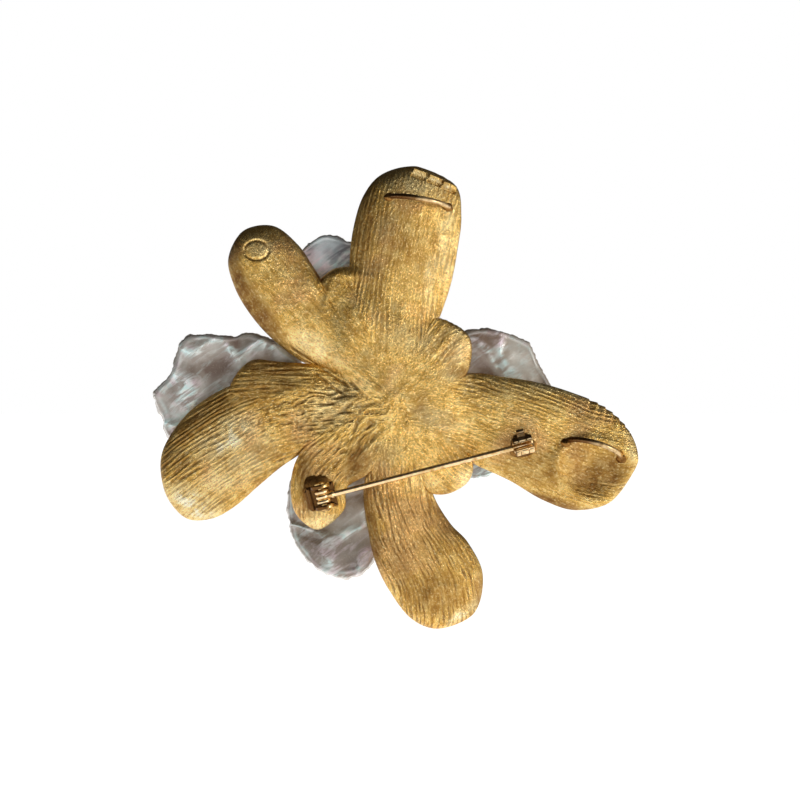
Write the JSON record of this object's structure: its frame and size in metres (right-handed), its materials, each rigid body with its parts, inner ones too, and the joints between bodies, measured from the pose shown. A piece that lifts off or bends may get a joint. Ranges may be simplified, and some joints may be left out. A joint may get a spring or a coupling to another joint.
{
  "type": "brooch",
  "caption": "Open five-petal flower brooch in textured gilt metal with baroque pearls between the petals, a hinged pin with a safety catch and pendant loops on the back.",
  "frame": {"origin": "middle of the pin stem's straight wire, on its axis, with the pin shut: the cloth holds the brooch there when it is worn", "axes": "upright as worn: +Z towards the top petal, -Y out of the back, +X to the right as the back is seen"},
  "size_m": [0.0883, 0.017, 0.084],
  "materials": {
    "gilt_casting": "satin",
    "gilt_wire": "polished",
    "gilt_finding": "gloss",
    "grey_nacre": "gloss",
    "cream_nacre": "gloss"
  },
  "bodies": {
    "flower": {"back_hub": "gilt_casting", "petal_top": "gilt_casting", "petal_upper_left": "gilt_casting", "petal_left": "gilt_casting", "petal_bottom": "gilt_casting", "petal_right": "gilt_casting", "seat_upper_left": "gilt_casting", "seat_left": "gilt_casting", "seat_bottom": "gilt_casting", "seat_lower_right": "gilt_casting", "seat_right": "gilt_casting", "pearl_upper_left": "grey_nacre", "pearl_left": "grey_nacre", "pearl_bottom": "grey_nacre", "pearl_lower_right": "grey_nacre", "pearl_right": "grey_nacre", "peg_upper_left": "gilt_wire", "peg_left": "gilt_wire", "peg_bottom": "gilt_wire", "peg_lower_right": "gilt_wire", "peg_right": "gilt_wire", "centre_cup": "gilt_casting", "centre_peg": "gilt_wire", "button_pearl": "cream_nacre", "stamens": "gilt_wire", "bail_loop_top": "gilt_wire", "bail_loop_right": "gilt_wire", "hinge_bracket": "gilt_finding", "hinge_rivet": "gilt_finding", "catch_housing": "gilt_finding"},
    "pin": {"pin_stem": "gilt_wire"},
    "sleeve": {"catch_sleeve": "gilt_finding"}
  },
  "joints": [
    {"name": "pin_swing", "type": "hinge", "parent": "flower", "child": "pin", "pos_m": [-0.01802, 0, -0.00463], "axis": [0.2487, 0, -0.9686], "range_deg": [0, 85]},
    {"name": "catch_turn", "type": "hinge", "parent": "flower", "child": "sleeve", "pos_m": [0.01792, 0, 0.0046], "axis": [0.9686, 0, 0.2487], "range_deg": [0, 110]}
  ]
}
